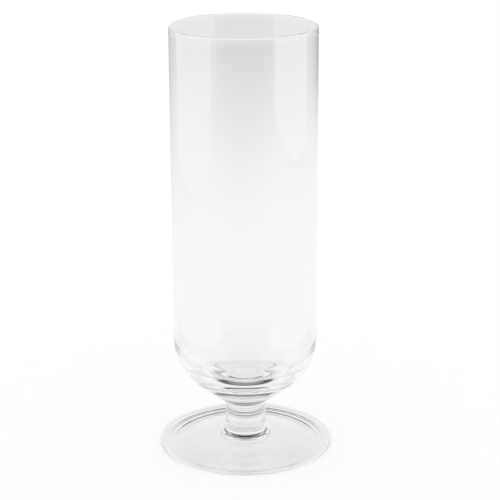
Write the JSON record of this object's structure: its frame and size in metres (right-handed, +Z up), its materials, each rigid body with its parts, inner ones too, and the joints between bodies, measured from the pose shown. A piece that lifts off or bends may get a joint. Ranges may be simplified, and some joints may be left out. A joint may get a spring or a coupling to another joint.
{
  "type": "cocktail glass",
  "caption": "Footed cocktail glass: tall straight-sided clear bowl with a rounded, thick base, fused to a short solid stem and a wide shallow round foot.",
  "frame": {"origin": "centre of the foot's standing ring, on the table", "axes": "+Z up along the glass's axis of turning, X and Y across the table"},
  "size_m": [0.0756, 0.0756, 0.185],
  "materials": {
    "bowl_glass": "clear, fire-polished, very faintly rippled",
    "stem_glass": "clear, drawn, smooth",
    "foot_glass": "clear, pressed, smooth"
  },
  "bodies": {
    "root": {"bowl": "bowl_glass", "stem": "stem_glass", "foot": "foot_glass"}
  },
  "joints": []
}
